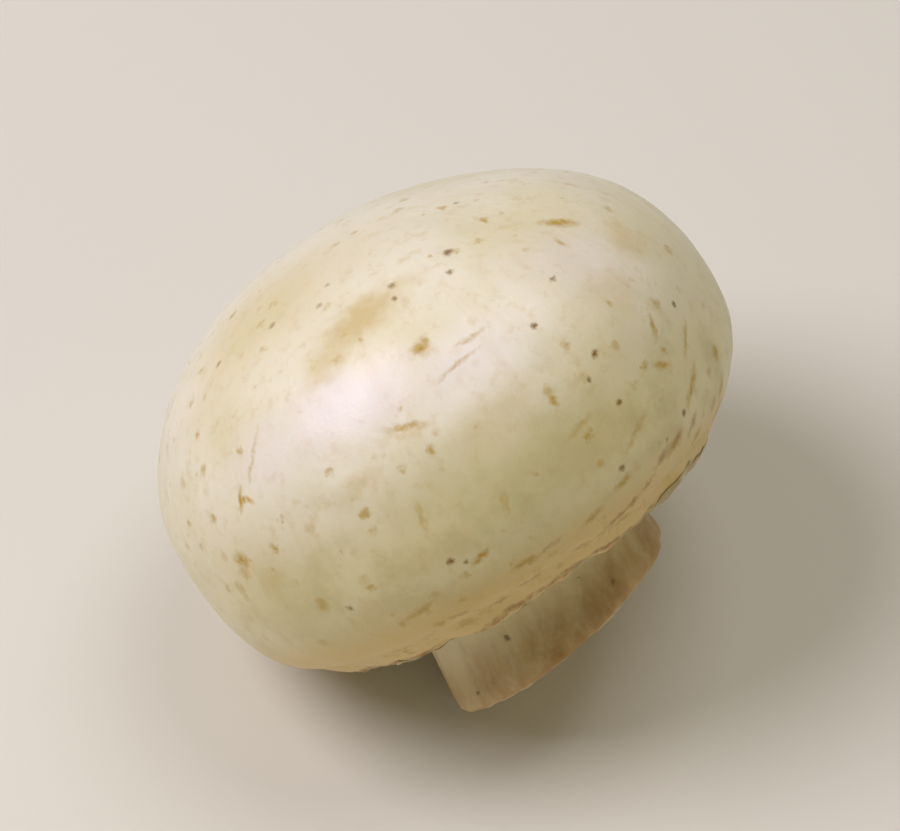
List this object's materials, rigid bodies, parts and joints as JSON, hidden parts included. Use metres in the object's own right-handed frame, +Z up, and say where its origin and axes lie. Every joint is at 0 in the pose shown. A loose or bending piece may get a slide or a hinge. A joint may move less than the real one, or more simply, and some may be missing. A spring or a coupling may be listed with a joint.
{
  "type": "button mushroom",
  "caption": "Whole white button mushroom lying on its side, with a closed domed cap, a rolled edge, a torn veil and a short stem cut across at a slant.",
  "frame": {"origin": "on the ground, under the middle of the mushroom's box as it lies on its side", "axes": "+Z up, +X across the width of the cap, and the crown of the cap faces +Y and up while the cut end of the stem faces -Y and down"},
  "size_m": [0.0446, 0.0382, 0.0389],
  "materials": {
    "cap_skin": "satin",
    "stem_flesh": "matte",
    "veil_membrane": "matte"
  },
  "bodies": {
    "root": {"cap": "cap_skin", "stem": "stem_flesh", "veil": "veil_membrane"}
  },
  "joints": []
}
